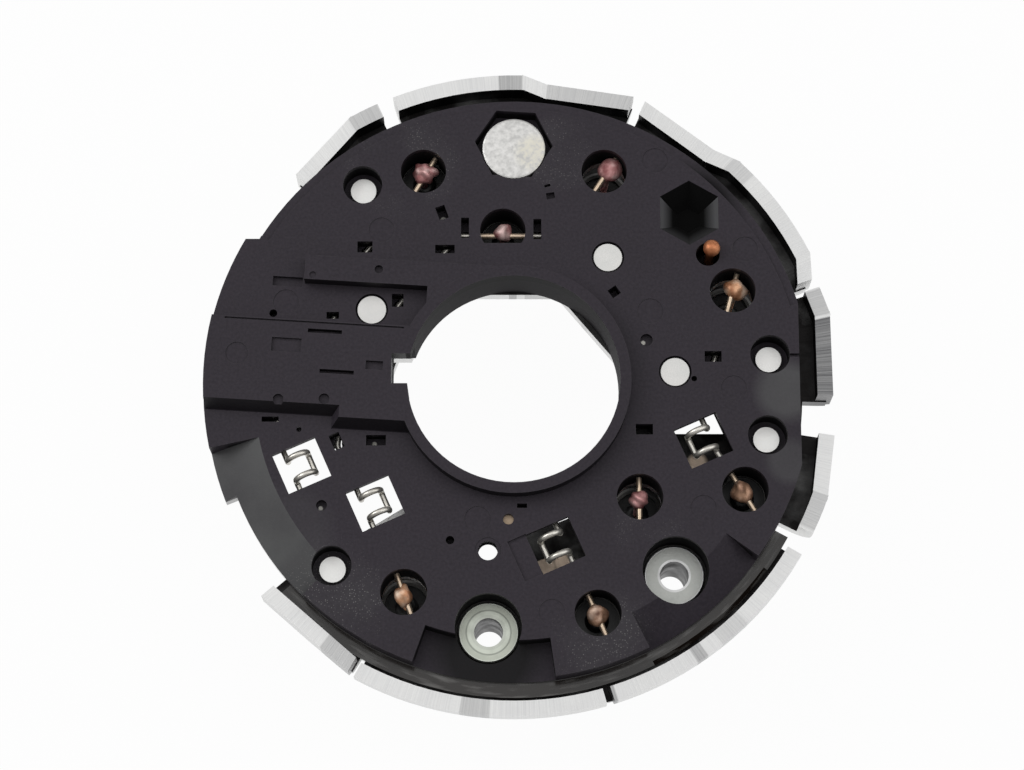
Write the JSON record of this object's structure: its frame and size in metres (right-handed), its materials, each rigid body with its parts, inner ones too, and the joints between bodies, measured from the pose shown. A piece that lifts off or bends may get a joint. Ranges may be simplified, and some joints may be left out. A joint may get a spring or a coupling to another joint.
{
  "type": "alternator rectifier",
  "caption": "Round alternator rectifier with a dark moulded terminal plate over two aluminium heat sinks, folded rim tabs, press-fit diodes, wire loops and a battery stud.",
  "frame": {"origin": "on the axis of the centre bore, level with the feet of the two mounting bushes, where the rectifier seats on an alternator's end frame", "axes": "+Z along the bore axis from the seat to the moulded face, +Y towards the battery stud, +X to the right when the face is seen from above with the stud at the top"},
  "size_m": [0.1404, 0.1481, 0.046],
  "materials": {
    "moulding": "matte charcoal moulding with a fine grain",
    "sink_sheet": "pressed sheet with bright cut edges",
    "diode_case": "satin nickel plate",
    "copper": "bare copper, slightly heat stained",
    "tinned_wire": "tinned, a little yellow",
    "zinc_plate": "dull zinc plate",
    "rivet_aluminium": "set rivet, satin",
    "spacer_nylon": "dark nylon"
  },
  "bodies": {
    "root": {"terminal_plate": "moulding", "positive_heat_sink": "sink_sheet", "negative_heat_sink": "sink_sheet", "positive_diode_1": "diode_case", "positive_diode_2": "diode_case", "positive_diode_3": "diode_case", "positive_diode_4": "diode_case", "negative_diode_1": "diode_case", "negative_diode_2": "diode_case", "negative_diode_3": "diode_case", "negative_diode_4": "diode_case", "positive_lead_1": "copper", "positive_lead_2": "copper", "positive_lead_3": "copper", "positive_lead_4": "copper", "negative_lead_1": "copper", "negative_lead_2": "copper", "negative_lead_3": "copper", "negative_lead_4": "copper", "phase_wire_u": "tinned_wire", "phase_wire_v": "tinned_wire", "phase_wire_w": "tinned_wire", "neutral_wire": "tinned_wire", "battery_stud": "zinc_plate", "stud_sleeve": "spacer_nylon", "sense_pin": "copper", "mounting_bush_1": "zinc_plate", "mounting_bush_2": "zinc_plate", "bush_spacer_1": "spacer_nylon", "bush_spacer_2": "spacer_nylon", "outer_rivets": "rivet_aluminium", "inner_rivets": "rivet_aluminium", "rivet_spacers": "spacer_nylon"}
  },
  "joints": []
}
